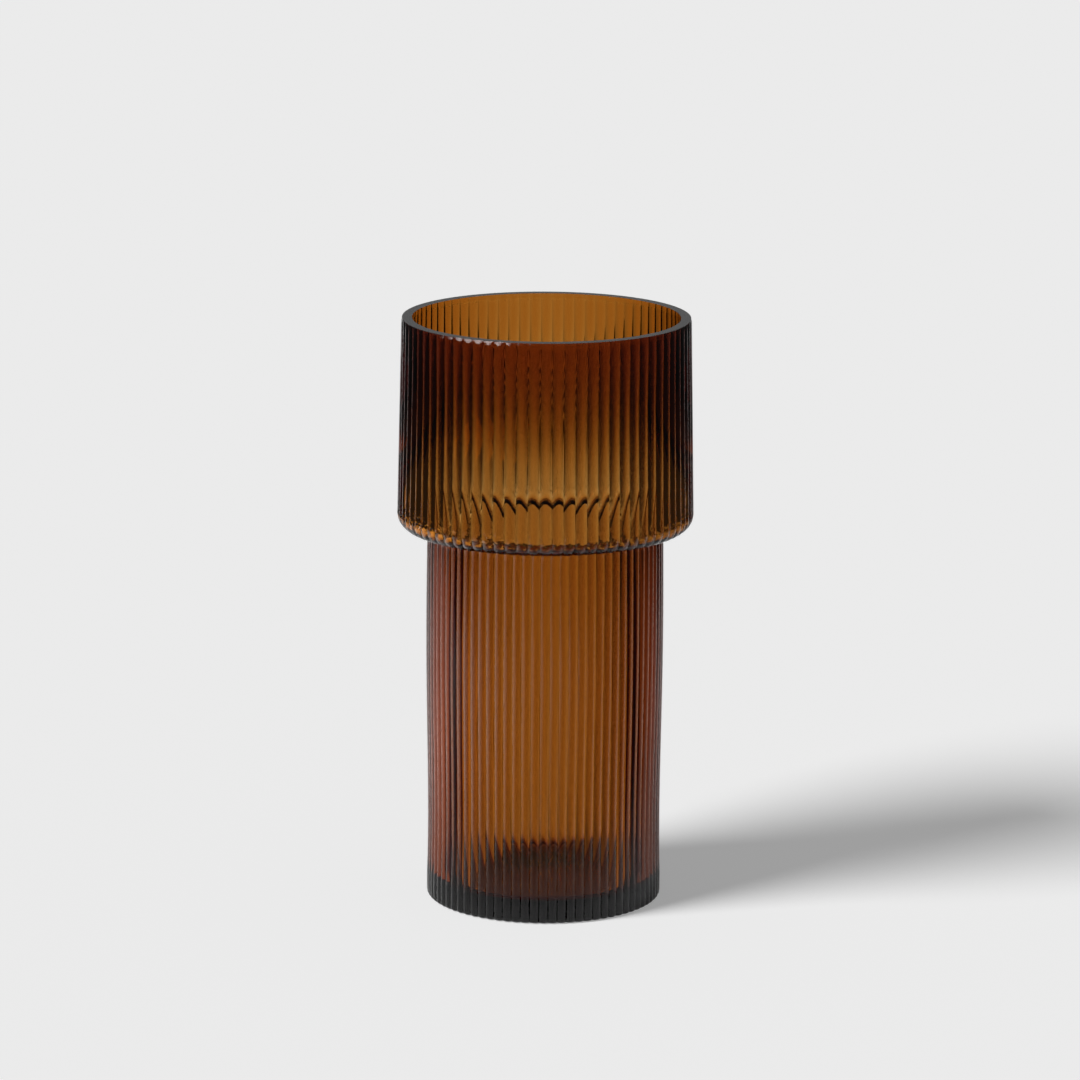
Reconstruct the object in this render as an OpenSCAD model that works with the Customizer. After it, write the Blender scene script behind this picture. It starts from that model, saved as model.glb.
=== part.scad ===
// Two-tier ribbed glass vase: a wide ribbed bowl on a narrower ribbed cylinder.
// The pieces meet face to face and are fused into one vessel. Units are millimetres,
// +Z is up, and the origin is the centre of the face that the vase stands on.

/* [Overall] */
// Height from the standing face to the rim
vase_h = 280; // [240:1:340]
// Number of ribs round each tier
rib_count = 78; // [48:1:90]
// Depth of the grooves between the ribs, as a share of a tier's radius
groove_share = 0.015; // [0.008:0.001:0.026]

/* [Base] */
// Radius of the lower tier over the rib crests
lower_r = 55.9; // [50:0.1:60]
// Thickness of the lower wall from a rib's crest to the smooth inner face
lower_t = 3; // [2.5:0.1:6]
// Thickness of the solid glass floor
floor_t = 10; // [6:0.5:16]
// Rounding of the outer bottom edge
foot_round = 1.8; // [0.5:0.1:3]
// Radius of the hollow under the base, inside the foot ring
kick_r = 43; // [30:1:45]
// Depth of the hollow under the base at its centre
kick_d = 1.5; // [0.5:0.1:3]
// Rounding inside, where the wall meets the floor
floor_round = 4; // [1:0.5:6]

/* [Shoulder] */
// Height of the shoulder's underside
shoulder_z = 179.4; // [160:0.1:200]
// Thickness of the shoulder's flat web
shoulder_t = 2.6; // [2.2:0.1:6]
// Rounding of the outer heel below the wide tier
heel_round = 7; // [5:0.5:9]
// Rounding of the inner corner above the shoulder
heel_inner_round = 4.2; // [1:0.1:5]
// Rounding of the lip where the bowl opens into the lower tier
throat_round = 2; // [0.5:0.5:3]

/* [Upper wall and rim] */
// Radius over the rib crests at the heel
heel_r = 70.1; // [66:0.1:75]
// Radius over the rib crests at the rim
rim_r = 68.2; // [65:0.1:75]
// Thickness of the upper wall at the rim, from a rib's crest to the smooth inner face
upper_t = 5; // [4:0.1:7]
// Thickness of the upper wall at the heel, where the glass is blown widest
heel_t = 2.1; // [1.6:0.1:6]
// Height above the heel up to which the wall keeps that thickness
thin_h = 20; // [5:1:40]
// Height above the heel from which the wall has its full thickness
thick_h = 72; // [50:1:88]
// Height of the ground band at the rim
rim_h = 3; // [2:0.5:6]
// Width of the bevel on the rim's outer edge
rim_bevel = 0.3; // [0.2:0.1:0.8]
// Height of that bevel
rim_bevel_h = 1.3; // [0.4:0.1:2]

/* [Hidden] */
$fn = 96;

lower_in_r = lower_r - lower_t;       // smooth bore of the lower tier
heel_in_r = heel_r - heel_t;          // smooth bore at the heel
rim_in_r = rim_r - upper_t;           // smooth bore at the rim
web_z = shoulder_z + shoulder_t;      // top face of the shoulder's web
upper_z = shoulder_z + heel_round;    // where the upper wall starts, above the heel's rounding
rim_z = vase_h - rim_h;               // where the ground rim band starts
flare = (rim_r - heel_r) / (vase_h - upper_z);  // change of radius per unit of height
rim_start_r = rim_r - flare * rim_h;  // crest radius at the foot of the rim band
rim_start_in_r = rim_start_r - upper_t;
thin_in_r = heel_in_r + flare * thin_h;               // bore where the wall starts to thicken
thick_in_r = heel_r + flare * thick_h - upper_t;      // bore where it is full
rib_steps = 4;                        // straight stretches across one rib
round_steps = 12;                     // straight stretches on a quarter round
slack = 1;                            // how far a cutting shape runs past a face
skin = 0.05;                          // how far a rounded envelope stands off the rib crests
amber = [0.62, 0.33, 0.06];
dark_amber = [0.42, 0.20, 0.05];
smoke = [0.45, 0.36, 0.26];

// Points of an arc about [cx, cy], from angle a0 to angle a1
function arc(cx, cy, r, a0, a1) =
    [for (i = [0:round_steps]) let (a = a0 + (a1 - a0) * i / round_steps)
        [cx + r * cos(a), cy + r * sin(a)]];

// Distance of the reeded outline from the axis at step i round the vase:
// full radius on a crest, falling by the groove's depth half a rib away
function reed_r(crest_r, i) =
    let (u = 2 * (i % rib_steps) / rib_steps - 1) crest_r * (1 - groove_share * u * u);

// Outline of a tier seen from above, with a sharp groove between rounded ribs
module reeded_outline(crest_r) {
    polygon([for (i = [0:rib_count * rib_steps - 1])
        let (a = 360 * i / (rib_count * rib_steps))
            reed_r(crest_r, i) * [cos(a), sin(a)]]);
}

// Straight reeded bar from z0 to z1
module reeded_bar(crest_r, z0, z1) {
    translate([0, 0, z0])
        linear_extrude(height = z1 - z0)
            reeded_outline(crest_r);
}

// Reeded bar whose crests lean from r0 at z0 to r1 at z1
module reeded_flare(r0, r1, z0, z1) {
    translate([0, 0, z0])
        linear_extrude(height = z1 - z0, scale = r1 / r0)
            reeded_outline(r0);
}

// Thick solid floor with a rounded foot and a shallow dished hollow below
module base_disc() {
    color(dark_amber)
        difference() {
            intersection() {
                reeded_bar(lower_r, 0, floor_t);
                rotate_extrude()
                    polygon(concat(
                        [[0, 0]],
                        arc(lower_r - foot_round + skin, foot_round, foot_round, -90, 0),
                        [[lower_r + skin, floor_t], [0, floor_t]]));
            }
            rotate_extrude()
                polygon(concat(
                    [[0, -slack], [kick_r, -slack]],
                    [for (i = [round_steps:-1:0]) let (u = i / round_steps)
                        [kick_r * u, kick_d * (1 - u * u)]]));
        }
}

// Reeded tube of the lower tier, rounded inside where it stands on the floor
module lower_wall() {
    color(amber)
        difference() {
            reeded_bar(lower_r, floor_t, shoulder_z);
            rotate_extrude()
                polygon(concat(
                    [[0, floor_t - slack], [lower_in_r - floor_round, floor_t - slack]],
                    arc(lower_in_r - floor_round, floor_t + floor_round, floor_round, -90, 0),
                    [[lower_in_r, shoulder_z + slack], [0, shoulder_z + slack]]));
        }
}

// Step between the tiers: a flat web with a rounded, reeded heel outside
module shoulder_ring() {
    color(amber)
        difference() {
            intersection() {
                reeded_bar(heel_r, shoulder_z, upper_z);
                rotate_extrude()
                    polygon(concat(
                        [[0, shoulder_z]],
                        arc(heel_r - heel_round + skin, upper_z, heel_round, -90, 0),
                        [[0, upper_z]]));
            }
            rotate_extrude()
                polygon(concat(
                    [[0, shoulder_z - slack], [lower_in_r, shoulder_z - slack]],
                    arc(lower_in_r + throat_round, web_z - throat_round, throat_round, 180, 90),
                    arc(heel_in_r - heel_inner_round, web_z + heel_inner_round,
                        heel_inner_round, -90, 0),
                    [[heel_in_r, upper_z + slack], [0, upper_z + slack]]));
        }
}

// Reeded wall of the wide tier, leaning in a little towards the rim
module upper_wall() {
    color(amber)
        difference() {
            reeded_flare(heel_r, rim_start_r, upper_z, rim_z);
            translate([0, 0, upper_z - slack])
                cylinder(r1 = heel_in_r - flare * slack, r2 = thin_in_r, h = thin_h + slack);
            translate([0, 0, upper_z + thin_h])
                cylinder(r1 = thin_in_r, r2 = thick_in_r, h = thick_h - thin_h);
            translate([0, 0, upper_z + thick_h])
                cylinder(r1 = thick_in_r, r2 = rim_start_in_r + flare * slack,
                    h = rim_z - upper_z - thick_h + slack);
        }
}

// Ground band at the mouth: flat on top, with a bevel across the rib ends
module rim_band() {
    color(smoke)
        difference() {
            intersection() {
                reeded_flare(rim_start_r, rim_r, rim_z, vase_h);
                translate([0, 0, rim_z])
                    cylinder(r1 = rim_r + rim_bevel * (rim_h / rim_bevel_h - 1),
                        r2 = rim_r - rim_bevel, h = rim_h);
            }
            translate([0, 0, rim_z - slack])
                cylinder(r1 = rim_start_in_r - flare * slack, r2 = rim_in_r + flare * slack,
                    h = rim_h + 2 * slack);
        }
}

base_disc();
lower_wall();
shoulder_ring();
upper_wall();
rim_band();
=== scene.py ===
import math

import bmesh
import bpy
from mathutils import Matrix, Vector


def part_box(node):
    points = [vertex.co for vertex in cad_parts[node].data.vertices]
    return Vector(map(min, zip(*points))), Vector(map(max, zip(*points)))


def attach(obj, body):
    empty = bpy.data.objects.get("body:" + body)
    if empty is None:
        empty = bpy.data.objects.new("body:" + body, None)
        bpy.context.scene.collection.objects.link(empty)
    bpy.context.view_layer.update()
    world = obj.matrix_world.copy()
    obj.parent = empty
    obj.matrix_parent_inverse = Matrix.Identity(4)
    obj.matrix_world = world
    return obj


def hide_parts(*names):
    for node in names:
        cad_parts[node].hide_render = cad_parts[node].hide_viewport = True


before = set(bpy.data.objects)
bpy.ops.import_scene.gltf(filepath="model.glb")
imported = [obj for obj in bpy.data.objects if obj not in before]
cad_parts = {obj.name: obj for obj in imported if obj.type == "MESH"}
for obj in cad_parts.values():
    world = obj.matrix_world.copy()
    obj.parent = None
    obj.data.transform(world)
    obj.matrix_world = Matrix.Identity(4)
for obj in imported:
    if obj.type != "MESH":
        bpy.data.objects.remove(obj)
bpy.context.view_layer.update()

MM = 0.001
SAME = 1e-6                              # points nearer than this count as one

# ---- sizes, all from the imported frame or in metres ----
_, base_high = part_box("base_disc")
shoulder_low, shoulder_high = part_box("shoulder_ring")
upper_low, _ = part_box("upper_wall")
rim_low, rim_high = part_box("rim_band")

RIBS = 78                                # ribs round each tier
RIB_STEPS = 12                           # faces across one rib
RING = RIBS * RIB_STEPS                  # points in a loop round the vase
PITCH = 2 * math.pi / RIBS               # angle from one groove to the next
GROOVE_SHARE = 0.0175                    # depth of the full grooves as a share of the radius
RIM_GROOVE = 0.36                        # share of that depth left at the rim
GROOVE_FADE = 42 * MM                    # height below the rim in which the grooves grow shallow

FLOOR_Z = base_high.z
SHOULDER_Z = shoulder_low.z
UPPER_Z = upper_low.z
RIM_Z = rim_low.z
TOP_Z = rim_high.z
SEAM_GAP = 0.02 * MM                     # room between two fused pieces' end faces

LOWER_R = base_high.x                    # crest radius of the lower tier
LOWER_T = 3.2 * MM                       # the lower wall at its top
FOOT_T = 2.85 * MM                       # and at its foot
LOWER_IN_R = LOWER_R - LOWER_T
WAIST = 0.45 * MM                        # how far the lower wall narrows and swells
WAIST_DROP = 0.8                         # under 1, which puts the waist below the quarter height
FOOT_ROUND = 1.8 * MM                    # round at the foot's outer edge
FLOOR_ROUND = 4.0 * MM                   # round where the floor meets the wall inside
KICK_R = 43 * MM                         # the hollow under the base, radius and depth
KICK_D = 1.5 * MM

HEEL_R = shoulder_high.x                 # crest radius at the heel, the widest place
HEEL_T = 2.1 * MM                        # the wall there, where the glass was blown widest
HEEL_ROUND = UPPER_Z - SHOULDER_Z        # round of the heel outside
HEEL_IN_ROUND = 4.2 * MM                 # and inside
WEB_Z = SHOULDER_Z + 2.6 * MM            # top of the shoulder's flat web
THROAT_ROUND = 1.2 * MM                  # round where the lower bore opens on to the web
THIN_Z = UPPER_Z + 12 * MM               # up to here the wide wall is as thin as at the heel
THICK_Z = UPPER_Z + 80 * MM              # and from here to the rim it has its full thickness
UPPER_T = 5.0 * MM                       # that full thickness
RIM_R = HEEL_R - 1.9 * MM                # crest radius at the rim, as the wall leans in
BEVEL_IN = 0.3 * MM                      # the rim bevel, across and down
BEVEL_DOWN = 1.3 * MM

NEAR_AXIS = 0.02                         # where the base's faces are capped, as a share of radius
LEVEL = 0.99                             # a face's upright normal from which it counts as level
SMOOTH_ANGLE = 28                        # edges sharper than this stay crisp, in degrees


# ---- small helpers for working with operators ----
def deselect():
    bpy.ops.object.select_all(action="DESELECT")


def activate(ob):
    deselect()
    ob.select_set(True)
    bpy.context.view_layer.objects.active = ob


def edit(ob):
    """Opens ob in edit mode with nothing selected."""
    activate(ob)
    bpy.ops.object.mode_set(mode="EDIT")
    bpy.ops.mesh.select_mode(type="VERT")
    bpy.ops.mesh.select_all(action="DESELECT")


def done():
    bpy.ops.object.mode_set(mode="OBJECT")


def choose(ob, points, test):
    """Selects, in edit mode, just those of a slice of ob's points that pass the test."""
    mesh = bmesh.from_edit_mesh(ob.data)
    mesh.verts.ensure_lookup_table()
    for v in mesh.verts[points]:
        v.select_set(test(v.co))
    mesh.select_flush_mode()
    bmesh.update_edit_mesh(ob.data)


def widen(share, z):
    """Scales the selection about the axis, keeping its height z."""
    bpy.ops.transform.resize(value=(share, share, 1), center_override=(0, 0, z))


def merge_points():
    bpy.ops.mesh.select_all(action="SELECT")
    bpy.ops.mesh.remove_doubles(threshold=SAME)


def rib_step(co):
    """Which of the steps across its rib a point lies on: 0 in a groove, half way on the crest."""
    return round(math.atan2(co.y, co.x) / PITCH * RIB_STEPS) % RIB_STEPS


def reed_share(step, depth):
    """The reeded outline's radius at that step, as a share of the crest's, for grooves so deep."""
    across = 2 * step / RIB_STEPS - 1
    return 1 - GROOVE_SHARE * depth * across ** 2


def newest_loop(ob, steps):
    """Selects the points of the loop extruded last that lie on those steps across their rib."""
    choose(ob, slice(-RING, None), lambda co: rib_step(co) in steps)


def resize_loop(ob, old, new):
    """Brings the newest loop, all of it selected, from the old profile point's outline to the
    new one's."""
    (old_r, _, old_depth), (new_r, z, new_depth) = old, new
    if old_depth == new_depth:
        widen(new_r / old_r, z)
        return
    for step in range(RIB_STEPS):
        bpy.ops.mesh.select_all(action="DESELECT")
        newest_loop(ob, [step])
        widen(new_r / old_r * reed_share(step, new_depth) / reed_share(step, old_depth), z)
    newest_loop(ob, range(RIB_STEPS))


def lathe(name, profile, closed):
    """Turns a profile of (radius, height, groove depth) points about the axis, loop by loop.
    Groove depth runs from 0 on a plain round to 1 in the full grooves.
    A closed profile makes a ring. An open one starts and ends near the axis, and is capped."""
    start = (profile[0][0], profile[0][1], 0)
    deselect()
    bpy.ops.mesh.primitive_circle_add(vertices=RING, radius=start[0], location=(0, 0, start[1]))
    ob = bpy.context.active_object
    ob.name = ob.data.name = name
    bpy.ops.object.transform_apply(location=True, rotation=True, scale=True)
    edit(ob)
    bpy.ops.mesh.select_all(action="SELECT")
    resize_loop(ob, start, profile[0])
    if not closed:
        bpy.ops.mesh.edge_face_add()
    following = profile[1:] + (profile[:1] if closed else [])
    for old, new in zip(profile, following):
        bpy.ops.mesh.extrude_edges_move(TRANSFORM_OT_translate={"value": (0, 0, new[1] - old[1])})
        resize_loop(ob, old, new)
    if not closed:
        bpy.ops.mesh.edge_face_add()
    merge_points()
    bpy.ops.mesh.normals_make_consistent(inside=False)
    done()
    return ob


def arc(centre, radius, start, end, steps):
    """Points of a round in a profile, angles in degrees."""
    r, z = centre
    turns = [math.radians(start + (end - start) * i / steps) for i in range(steps + 1)]
    return [(r + radius * math.cos(t), z + radius * math.sin(t)) for t in turns]


def line(start, end, steps):
    """Points of a straight stretch of a profile, both ends included."""
    return [tuple(a + (b - a) * i / steps for a, b in zip(start, end)) for i in range(steps + 1)]


def finish_piece(ob, seams):
    """Marks the level end faces fused to a neighbour, each given as its height and the span of
    radius it fills, and smooths all but the grooves and edges."""
    mark = ob.data.attributes.new("seam", "FLOAT", "FACE")
    for face in ob.data.polygons:
        radius = math.hypot(face.center.x, face.center.y)
        mark.data[face.index].value = float(abs(face.normal.z) > LEVEL and any(
            abs(face.center.z - z) < SAME and low < radius < high for z, low, high in seams))
    activate(ob)
    bpy.ops.object.shade_smooth_by_angle(angle=math.radians(SMOOTH_ANGLE))
    return ob


# ---- how the glass varies with height ----
def ease(value, low, high):
    """Rises smoothly from 0 at low to 1 at high."""
    share = min(1, max(0, (value - low) / (high - low)))
    return share * share * (3 - 2 * share)


def groove_depth(z):
    """Depth of the grooves at height z: full, but shallower towards the rim."""
    return 1 - (1 - RIM_GROOVE) * ease(z, TOP_Z - GROOVE_FADE, TOP_Z)


def flare_r(z):
    """Crest radius of the wide tier at height z."""
    return HEEL_R + (RIM_R - HEEL_R) * (z - UPPER_Z) / (TOP_Z - UPPER_Z)


def wall_t(z):
    """Thickness of the wide tier's wall at height z: thin above the heel, full below the rim."""
    return HEEL_T + (UPPER_T - HEEL_T) * ease(z, THIN_Z, THICK_Z)


def swell(share):
    """How far the lower wall stands out at a share of its height: in at the waist, out above it."""
    return -WAIST * math.sin(2 * math.pi * share ** WAIST_DROP)


def reeded(points):
    return [(r, z, groove_depth(z)) for r, z in points]


def plain(points):
    return [(r, z, 0) for r, z in points]


# ---- the five stretches of glass ----
def make_lower_wall():
    z0, z1 = FLOOR_Z + SEAM_GAP, SHOULDER_Z - SEAM_GAP
    steps = 20
    outer = [(LOWER_R + swell(i / steps), z0 + (z1 - z0) * i / steps) for i in range(steps + 1)]
    fillet = arc((LOWER_IN_R - FLOOR_ROUND, z0 + FLOOR_ROUND), FLOOR_ROUND, -90, 0, steps=10)
    thinning = (LOWER_T - FOOT_T) / (z1 - z0)
    inner = fillet + [(r - LOWER_T + thinning * (z1 - z), z)
                      for r, z in outer if z > z0 + FLOOR_ROUND]
    ob = lathe("lower_wall_glass", reeded(outer) + plain(inner[::-1]), closed=True)
    return finish_piece(ob, [(z0, 0, LOWER_R), (z1, 0, LOWER_R)])


def make_upper_wall():
    heights = UPPER_Z + SEAM_GAP, TOP_Z - GROOVE_FADE, RIM_Z - SEAM_GAP
    foot, bend, head = [(flare_r(z), z) for z in heights]
    outer = line(foot, bend, steps=10)[:-1] + line(bend, head, steps=6)
    inner = [(r - wall_t(z), z) for r, z in outer]
    ob = lathe("upper_wall_glass", reeded(outer) + plain(inner[::-1]), closed=True)
    return finish_piece(ob, [(foot[1], 0, HEEL_R), (head[1], 0, HEEL_R)])


def make_shoulder():
    heel_in_r = HEEL_R - HEEL_T
    heel = (HEEL_R - HEEL_ROUND, SHOULDER_Z + HEEL_ROUND)
    throat = (LOWER_IN_R + THROAT_ROUND, WEB_Z - THROAT_ROUND)
    corner = (heel_in_r - HEEL_IN_ROUND, WEB_Z + HEEL_IN_ROUND)
    outer = [(LOWER_R, SHOULDER_Z)] + arc(heel, HEEL_ROUND, -90, 0, steps=12)
    inner = ([(LOWER_IN_R, SHOULDER_Z)]
             + arc(throat, THROAT_ROUND, 180, 90, steps=8)
             + arc(corner, HEEL_IN_ROUND, -90, 0, steps=8)
             + [(heel_in_r, UPPER_Z)])
    ob = lathe("shoulder_ring_glass", reeded(outer) + plain(inner[::-1]), closed=True)
    under = (LOWER_R + LOWER_IN_R) / 2
    return finish_piece(ob, [(SHOULDER_Z, 0, under), (UPPER_Z, 0, HEEL_R)])


def make_base():
    floor_r = LOWER_IN_R - FLOOR_ROUND
    rings = 8
    shares = [NEAR_AXIS + (1 - NEAR_AXIS) * i / rings for i in range(rings + 1)]
    kick = [(KICK_R * share, KICK_D * (1 - share ** 2)) for share in shares]
    side = (arc((LOWER_R - FOOT_ROUND, FOOT_ROUND), FOOT_ROUND, -90, 0, steps=6)
            + line((LOWER_R, FOOT_ROUND), (LOWER_R, FLOOR_Z), steps=2)[1:])
    floor = [(floor_r * share, FLOOR_Z) for share in shares[::-2]]
    ob = lathe("base_disc_glass", plain(kick) + reeded(side) + plain(floor), closed=False)
    return finish_piece(ob, [(FLOOR_Z, floor_r, LOWER_R)])


def make_rim():
    """The ground band. The bevel is a cone cut across the rib ends, so it bites the crests most:
    its lower edge rises towards each groove, and reaches the top face before the groove does."""
    z0, bevel_z = RIM_Z + SEAM_GAP, TOP_Z - BEVEL_DOWN
    inner = [(flare_r(z0) - UPPER_T, z0), (RIM_R - UPPER_T, TOP_Z)]
    edge_r = RIM_R - BEVEL_IN
    ob = lathe("rim_band_glass", reeded([(flare_r(z0), z0), (RIM_R, bevel_z)])
               + plain([(edge_r, TOP_Z)] + inner[::-1]), closed=True)
    every = slice(None)
    for step in range(RIB_STEPS):
        r = RIM_R * reed_share(step, groove_depth(bevel_z))
        raised = min((RIM_R - r) / BEVEL_IN, 1) * BEVEL_DOWN
        edit(ob)
        choose(ob, every, lambda co: rib_step(co) == step and abs(co.z - bevel_z) < SAME)
        bpy.ops.transform.translate(value=(0, 0, raised))
        if r < edge_r:
            choose(ob, every, lambda co: rib_step(co) == step and abs(co.z - TOP_Z) < SAME
                   and math.hypot(co.x, co.y) > (r + edge_r) / 2)
            widen(r / edge_r, TOP_Z)
        done()
    edit(ob)
    merge_points()
    done()
    return finish_piece(ob, [(z0, 0, HEEL_R)])


# ---- shader maths written as expressions ----
class Sock:
    """An output socket that adds Math nodes when it is used in an expression."""

    def __init__(self, tree, socket):
        self.tree, self.socket = tree, socket

    def node(self, kind, settings=None, inputs=None, output=0):
        n = self.tree.nodes.new(kind)
        for key, value in (settings or {}).items():
            setattr(n, key, value)
        for key, value in (inputs or {}).items():
            if isinstance(value, Sock):
                self.tree.links.new(value.socket, n.inputs[key])
            else:
                n.inputs[key].default_value = value
        return Sock(self.tree, n.outputs[output])

    def beside(self, output):
        """Another output of the same node."""
        return Sock(self.tree, self.socket.node.outputs[output])

    def maths(self, operation, a, b):
        return self.node("ShaderNodeMath", {"operation": operation}, {0: a, 1: b})

    def __add__(self, other):
        return self.maths("ADD", self, other)

    def __radd__(self, other):
        return self.maths("ADD", other, self)

    def __rsub__(self, other):
        return self.maths("SUBTRACT", other, self)

    def __mul__(self, other):
        return self.maths("MULTIPLY", self, other)


def new_material(name):
    mat = bpy.data.materials.new(name)
    mat.use_nodes = True
    mat.node_tree.nodes.clear()
    return mat, Sock(mat.node_tree, None)


def smooth_step(value, edge):
    """Rises smoothly from 0 to 1 across a soft edge, given as its two ends."""
    low, high = edge
    return value.node("ShaderNodeMapRange", {"interpolation_type": "SMOOTHSTEP"},
                      {"Value": value, "From Min": low, "From Max": high})


def between(value, rise, fall):
    """1 between two soft edges and 0 outside them."""
    return smooth_step(value, rise) * (1 - smooth_step(value, fall))


def mix_colour(share, first, second):
    return share.node("ShaderNodeMix", {"data_type": "RGBA"},
                      {0: share, 6: first, 7: second}, output=2)


# ---- the glass ----
WHITE = (1, 1, 1, 1)
BLACK = (0, 0, 0, 1)
GLASS_IOR = 1.5
ABSORB = (190, 408, 850)                 # how fast red, green and blue fade in it, per metre
HEADROOM = 1.05                          # keeps the strongest of the three short of black
RELIEF = 0.03 * MM                       # height of the bumps for a pattern that stands at 1
RIPPLE = 0.6                             # how high the fine ripple stands
STREAK = 1.0                             # and the streaks drawn up the wall
CRINKLE = 12.0                           # and the crinkles where the shoulder was pressed
CRINKLE_FROM = (SHOULDER_Z - 5 * MM, SHOULDER_Z + 1 * MM)      # heights where they set in
CRINKLE_TO = (UPPER_Z - 2 * MM, UPPER_Z + 10 * MM)             # and where they die out
RIPPLE_CELLS = 150.0                     # how fine each pattern is, in cells to the metre
STREAK_CELLS = 450.0
CRINKLE_CELLS = 400.0
CORD_CELLS = 260.0
TALL = 0.35                              # a pattern drawn upwards has its heights shrunk to this
DRAWN = 0.03                             # and one drawn out to streaks, to this
CORD_TINT = (0.97, 0.93, 0.85, 1)        # the slightly darker cords in the glass
CORD_EDGE = (0.45, 0.7)                  # levels of their pattern between which they set in
GROUND_EDGE = (TOP_Z - 1.5 * MM, TOP_Z - 1.3 * MM)             # heights where the ground rim starts
GROUND_ROUGH = 0.1                       # and its roughness


def amber_glass():
    """Amber soda glass: clear and smooth, tinted by how deep the light goes."""
    mat, make = new_material("amber_glass")
    tree = mat.node_tree
    place = make.node("ShaderNodeTexCoord", output="Object")
    seam = make.node("ShaderNodeAttribute", {"attribute_name": "seam"}, output="Fac")
    height = make.node("ShaderNodeSeparateXYZ", inputs={0: place}, output="Z")

    def noise(cells, upright, detail=1.0):
        """A pattern with so many cells to the metre, its heights shrunk to a share."""
        drawn = make.node("ShaderNodeMapping", inputs={"Vector": place, "Scale": (1, 1, upright)})
        return make.node("ShaderNodeTexNoise",
                         inputs={"Vector": drawn, "Scale": cells, "Detail": detail})

    near_web = between(height, CRINKLE_FROM, CRINKLE_TO)
    relief = (noise(RIPPLE_CELLS, TALL) * RIPPLE + noise(STREAK_CELLS, DRAWN) * STREAK
              + noise(CRINKLE_CELLS, 1) * near_web * CRINKLE)
    bump = make.node("ShaderNodeBump", inputs={
        "Height": relief, "Strength": 1.0, "Distance": RELIEF})
    cord = noise(CORD_CELLS, DRAWN, detail=3.0)
    tint = mix_colour(smooth_step(cord, CORD_EDGE), WHITE, CORD_TINT)
    glass = make.node("ShaderNodeBsdfPrincipled", inputs={
        "Base Color": tint, "Roughness": smooth_step(height, GROUND_EDGE) * GROUND_ROUGH,
        "IOR": GLASS_IOR, "Transmission Weight": 1.0, "Alpha": 1 - seam, "Normal": bump})
    density = max(ABSORB) * HEADROOM
    colour = (*[1 - a / density for a in ABSORB], 1)
    depth = make.node("ShaderNodeVolumeAbsorption", inputs={"Color": colour, "Density": density})
    out = tree.nodes.new("ShaderNodeOutputMaterial")
    tree.links.new(glass.socket, out.inputs["Surface"])
    tree.links.new(depth.socket, out.inputs["Volume"])
    return mat


def build_vase():
    glass = amber_glass()
    made = {
        "base_disc": (make_base(), "base_glass"),
        "lower_wall": (make_lower_wall(), "wall_glass"),
        "shoulder_ring": (make_shoulder(), "wall_glass"),
        "upper_wall": (make_upper_wall(), "wall_glass"),
        "rim_band": (make_rim(), "rim_glass"),
    }
    for node, (ob, slot) in made.items():
        ob.data.materials.clear()
        ob.data.materials.append(glass)
        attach(ob, "root")
        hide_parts(node)


# ---- stage, lights and camera ----
PALE = 0.83                              # the floor and backdrop as the camera sees them
SHADE = 0.31                             # what is left of it in the vase's shadow
ALBEDO = 0.82                            # the floor's own grey
FLOOR_SIZE = 60                          # far wider than the camera sees
FLOOR_DROP = 0.2 * MM                    # the floor lies this far under the foot
TABLE = (0.68, -0.10, 3.2)               # white sweep by the vase: half width, front, back edge
TABLE_FADE = 0.12                        # how softly the sweep ends
DIM_STUDIO = 0.05                        # the unlit studio past the sweep's edges
RIGHT_LOSS = 0.5                         # share of its light that the sweep loses on the right
LOSS_EDGE = (0.1, 0.6)                   # between these distances to the right of the vase
LEFT_GAIN = 0.6                          # glow of a patch of floor at the left, in reflections only
GLOW_X = ((-1.0, -0.8), (-0.35, -0.08))  # that patch's soft edges, across
GLOW_Y = ((-0.6, -0.4), (0.1, 0.4))      # and front to back
HORIZON = 0.25                           # the studio's far wall, as the glass sees it
WALL_TOP = (0.35, 0.6)                   # its soft upper edge, as the upward part of a direction
WALL_SIDE = (0.6, 0.9)                   # and its sides, as the backward part
SOFTBOX = 6.0                            # a bright patch of sky at the left, in reflections only
SOFTBOX_AT = (-0.78, -0.50, 0.30)        # towards its middle
SOFTBOX_EDGE = (0.86, 0.95)              # its soft edge, as the cosine of the angle off its middle
KEY_FROM = (-0.87, -0.50, 0.84)          # towards the key light
KEY_ANGLE = 24                           # its size in degrees
LENS, SENSOR = 179.9, 36                 # the camera's, in millimetres
CAMERA_AT = (-0.0025, -2.492, 0.7366)
CAMERA_DOWN = 12.75                      # how far it looks down, in degrees
CAMERA_ROLL = 0.327                      # and how far it leans over
CAMERA_REACH = 50                        # how far it sees, in metres


def table_edge(at):
    return at - TABLE_FADE, at + TABLE_FADE


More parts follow.
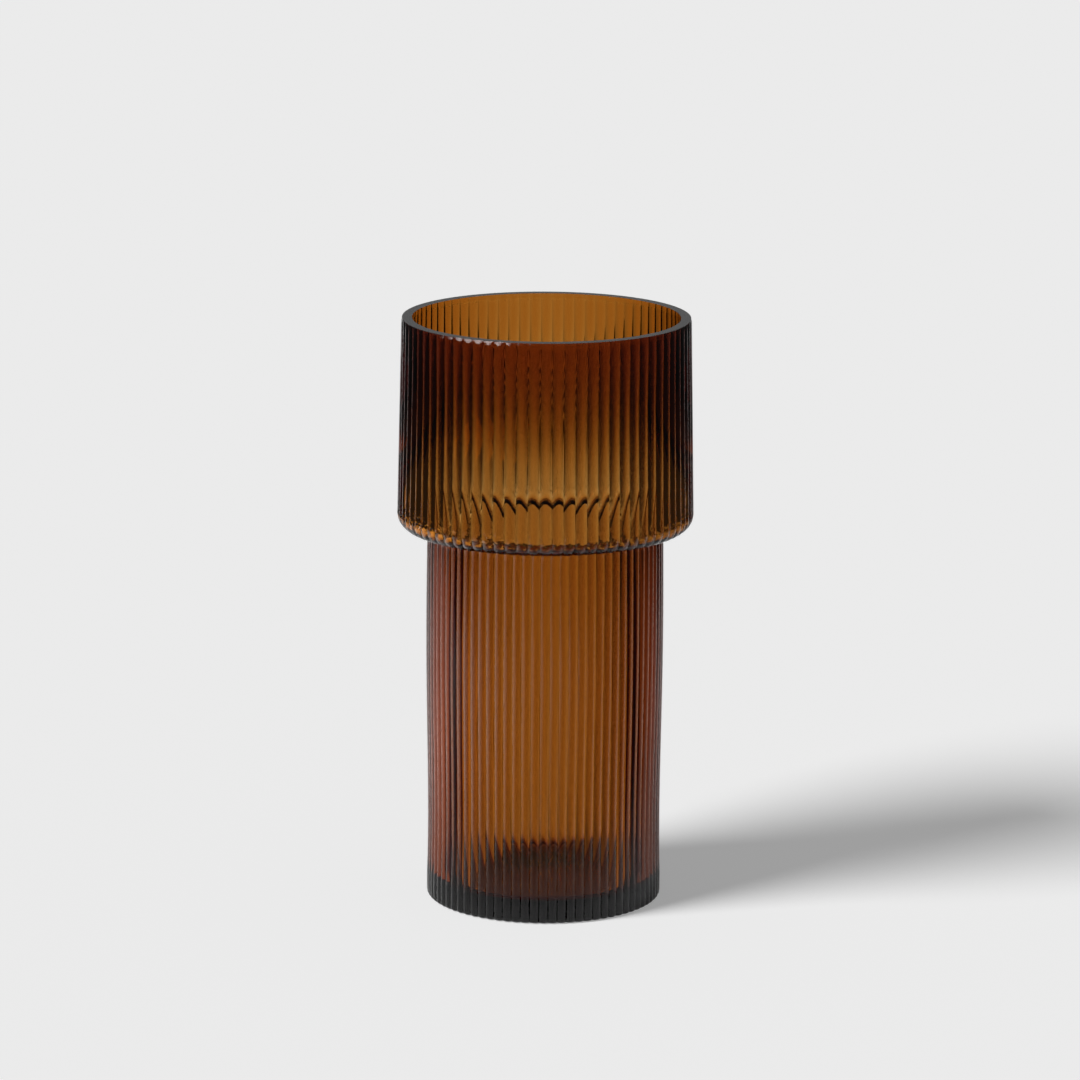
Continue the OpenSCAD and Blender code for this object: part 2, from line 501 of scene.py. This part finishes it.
def stage():
    """A pale floor. The camera sees it go on for ever, but the glass sees a white sweep with edges
    at the front, back and sides, dimmer at the right, and a dim studio beyond, because that is
    what draws dark lines on glass. Reflections see a glowing patch at the left as well."""
    deselect()
    bpy.ops.mesh.primitive_plane_add(size=FLOOR_SIZE, location=(0, 0, -FLOOR_DROP))
    floor = bpy.context.active_object
    floor.name = "studio_floor"
    bpy.ops.object.transform_apply(location=True, rotation=True, scale=True)
    mat, make = new_material("pale_floor")
    place = make.node("ShaderNodeTexCoord", output="Object")
    x = make.node("ShaderNodeSeparateXYZ", inputs={0: place})
    y = x.beside("Y")
    half, front, back = TABLE
    aside = make.node("ShaderNodeMath", {"operation": "ABSOLUTE"}, {0: x})
    inside = between(y, table_edge(front), table_edge(back))
    inside = inside * (1 - smooth_step(aside, table_edge(half)))
    dimmed = inside * (1 - smooth_step(x, LOSS_EDGE) * RIGHT_LOSS)
    straight = make.node("ShaderNodeLightPath", output="Is Camera Ray")
    mirrored = straight.beside("Is Glossy Ray")
    lit = DIM_STUDIO + make.maths("MAXIMUM", dimmed, straight) * (1 - DIM_STUDIO)
    glow = mirrored * between(x, *GLOW_X) * between(y, *GLOW_Y) * LEFT_GAIN
    shade = make.node("ShaderNodeBsdfPrincipled", inputs={
        "Base Color": mix_colour(lit, BLACK, (ALBEDO, ALBEDO, ALBEDO, 1)),
        "Roughness": 1.0, "Specular IOR Level": 0.0,
        "Emission Color": WHITE, "Emission Strength": lit * SHADE + glow})
    out = mat.node_tree.nodes.new("ShaderNodeOutputMaterial")
    mat.node_tree.links.new(shade.socket, out.inputs["Surface"])
    mat.cycles.emission_sampling = "NONE"
    floor.data.materials.append(mat)


def lights():
    """The world: pale to the camera, dim to the floor, and to the glass a dark studio with a far
    wall and a soft box. The key is a broad sun, which shows in the glass's reflections only."""
    world = bpy.data.worlds.new("studio")
    bpy.context.scene.world = world
    world.use_nodes = True
    tree = world.node_tree
    make = Sock(tree, None)
    straight = make.node("ShaderNodeLightPath", output="Is Camera Ray")
    spread = straight.beside("Is Diffuse Ray")
    mirrored = straight.beside("Is Glossy Ray")
    towards = make.node("ShaderNodeTexCoord", output="Generated")
    back = make.node("ShaderNodeSeparateXYZ", inputs={0: towards}, output="Y")
    up = back.beside("Z")
    facing = make.node("ShaderNodeVectorMath", {"operation": "DOT_PRODUCT"},
                       {0: towards, 1: Vector(SOFTBOX_AT).normalized()}, output="Value")
    wall = (1 - smooth_step(up, WALL_TOP)) * smooth_step(back, WALL_SIDE)
    around = (DIM_STUDIO + wall * (HORIZON - DIM_STUDIO)
              + smooth_step(facing, SOFTBOX_EDGE) * mirrored * SOFTBOX)
    unseen = around + spread * (DIM_STUDIO - around)
    level = unseen + straight * (PALE - unseen)
    background = tree.nodes["Background"]
    tree.links.new(level.socket, background.inputs["Strength"])
    background.inputs["Color"].default_value = WHITE
    world.cycles.sampling_method = "NONE"
    deselect()
    bpy.ops.object.light_add(type="SUN", location=KEY_FROM)
    key = bpy.context.active_object
    key.name = "key"
    key.visible_transmission = False
    key.data.angle = math.radians(KEY_ANGLE)
    from_key = (PALE - SHADE - DIM_STUDIO * ALBEDO) / ALBEDO
    key.data.energy = from_key * math.pi / Vector(KEY_FROM).normalized().z
    key.rotation_euler = Vector(KEY_FROM).to_track_quat("Z", "Y").to_euler()


def camera():
    data = bpy.data.cameras.new("camera")
    data.sensor_width = SENSOR
    data.lens = LENS
    data.clip_end = CAMERA_REACH
    ob = bpy.data.objects.new("camera", data)
    bpy.context.scene.collection.objects.link(ob)
    tilt = Matrix.Rotation(math.radians(90 - CAMERA_DOWN), 4, "X")
    roll = Matrix.Rotation(math.radians(CAMERA_ROLL), 4, "Z")
    ob.matrix_world = Matrix.Translation(CAMERA_AT) @ tilt @ roll
    bpy.context.scene.camera = ob


build_vase()
stage()
lights()
camera()

scene = bpy.context.scene
scene.view_settings.view_transform = "Standard"
scene.cycles.use_denoising = True
scene.cycles.denoising_prefilter = "ACCURATE"
scene.cycles.use_adaptive_sampling = False
scene.cycles.sample_clamp_indirect = 4.0
scene.cycles.max_bounces = 40
scene.cycles.transmission_bounces = 40
scene.cycles.glossy_bounces = 12
scene.cycles.transparent_max_bounces = 48
scene.cycles.caustics_reflective = False
scene.cycles.caustics_refractive = False
